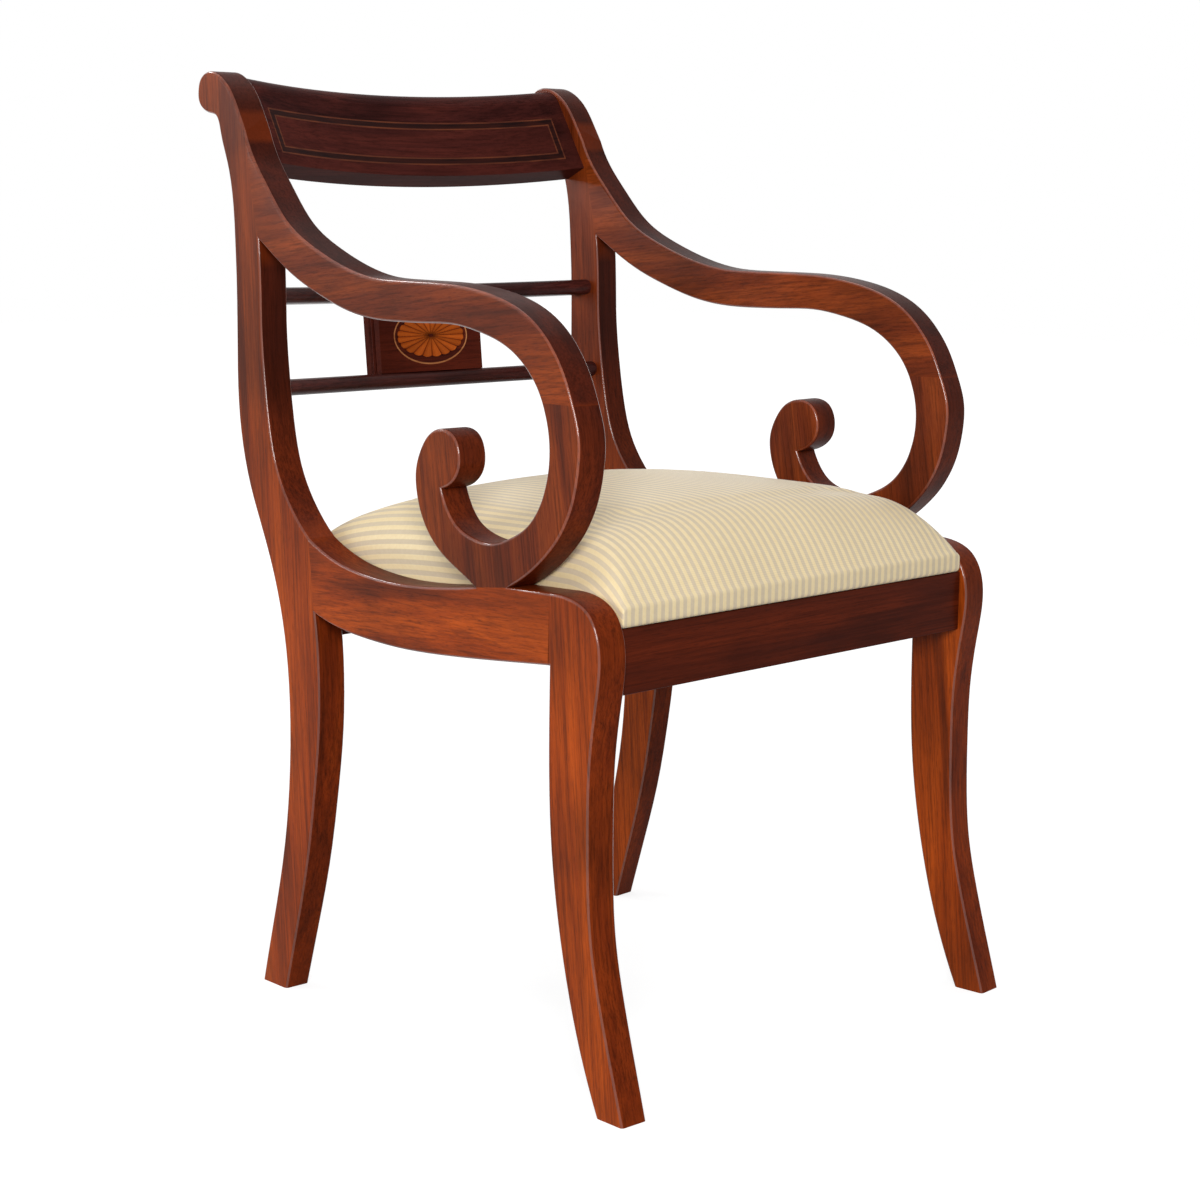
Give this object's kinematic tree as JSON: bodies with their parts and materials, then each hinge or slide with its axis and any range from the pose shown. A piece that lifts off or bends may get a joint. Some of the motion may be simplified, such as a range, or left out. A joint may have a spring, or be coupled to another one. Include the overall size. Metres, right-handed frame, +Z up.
{
  "type": "scroll arm dining chair",
  "caption": "Wooden dining armchair with sabre legs, scrolled arms, a rolled crest rail with string inlay, an inlaid tablet back and a lift-out striped seat.",
  "frame": {"origin": "on the floor, under the middle of the bounding box", "axes": "+Z up, +X to the sitter's left, -Y to the front"},
  "size_m": [0.5414, 0.6325, 0.8802],
  "materials": {
    "mahogany": "french polished, glossy",
    "boxwood": "polished inlay",
    "satinwood": "polished inlay with shaded petals",
    "rosewood": "polished dark veneer",
    "beech": "bare wood",
    "striped_cloth": "woven silk stripe",
    "wadding": "soft",
    "jute": "coarse weave",
    "dust_cloth": "thin black cotton",
    "screw_steel": "plain",
    "tack_iron": "blued"
  },
  "bodies": {
    "frame": {"right_back_post": "mahogany", "right_arm": "mahogany", "right_arm_scroll": "mahogany", "right_side_rail": "mahogany", "right_front_leg": "mahogany", "left_back_post": "mahogany", "left_arm": "mahogany", "left_arm_scroll": "mahogany", "left_side_rail": "mahogany", "left_front_leg": "mahogany", "front_rail": "mahogany", "rear_rail": "mahogany", "crest_rail": "mahogany", "upper_stay": "mahogany", "lower_stay": "mahogany", "tablet": "mahogany", "crest_outer_string": "boxwood", "crest_banding": "rosewood", "crest_inner_string": "boxwood", "tablet_oval_string": "boxwood", "tablet_ground": "rosewood", "tablet_fan": "satinwood", "frame_dowels": "beech", "tablet_pins": "beech", "frame_screws": "screw_steel", "right_front_block": "beech", "right_rear_block": "beech", "right_seat_bearer": "beech", "left_front_block": "beech", "left_rear_block": "beech", "left_seat_bearer": "beech"},
    "seat": {"seat_front_bar": "beech", "seat_back_bar": "beech", "seat_right_bar": "beech", "seat_left_bar": "beech", "seat_dowels": "beech", "seat_webbing": "jute", "seat_hessian": "jute", "seat_stuffing": "wadding", "seat_cover": "striped_cloth", "dust_cover": "dust_cloth", "cover_tacks": "tack_iron"}
  },
  "joints": [
    {"name": "seat_lift", "type": "slide", "parent": "frame", "child": "seat", "axis": [0, 0, 1], "range_m": [0, 0.45]}
  ]
}
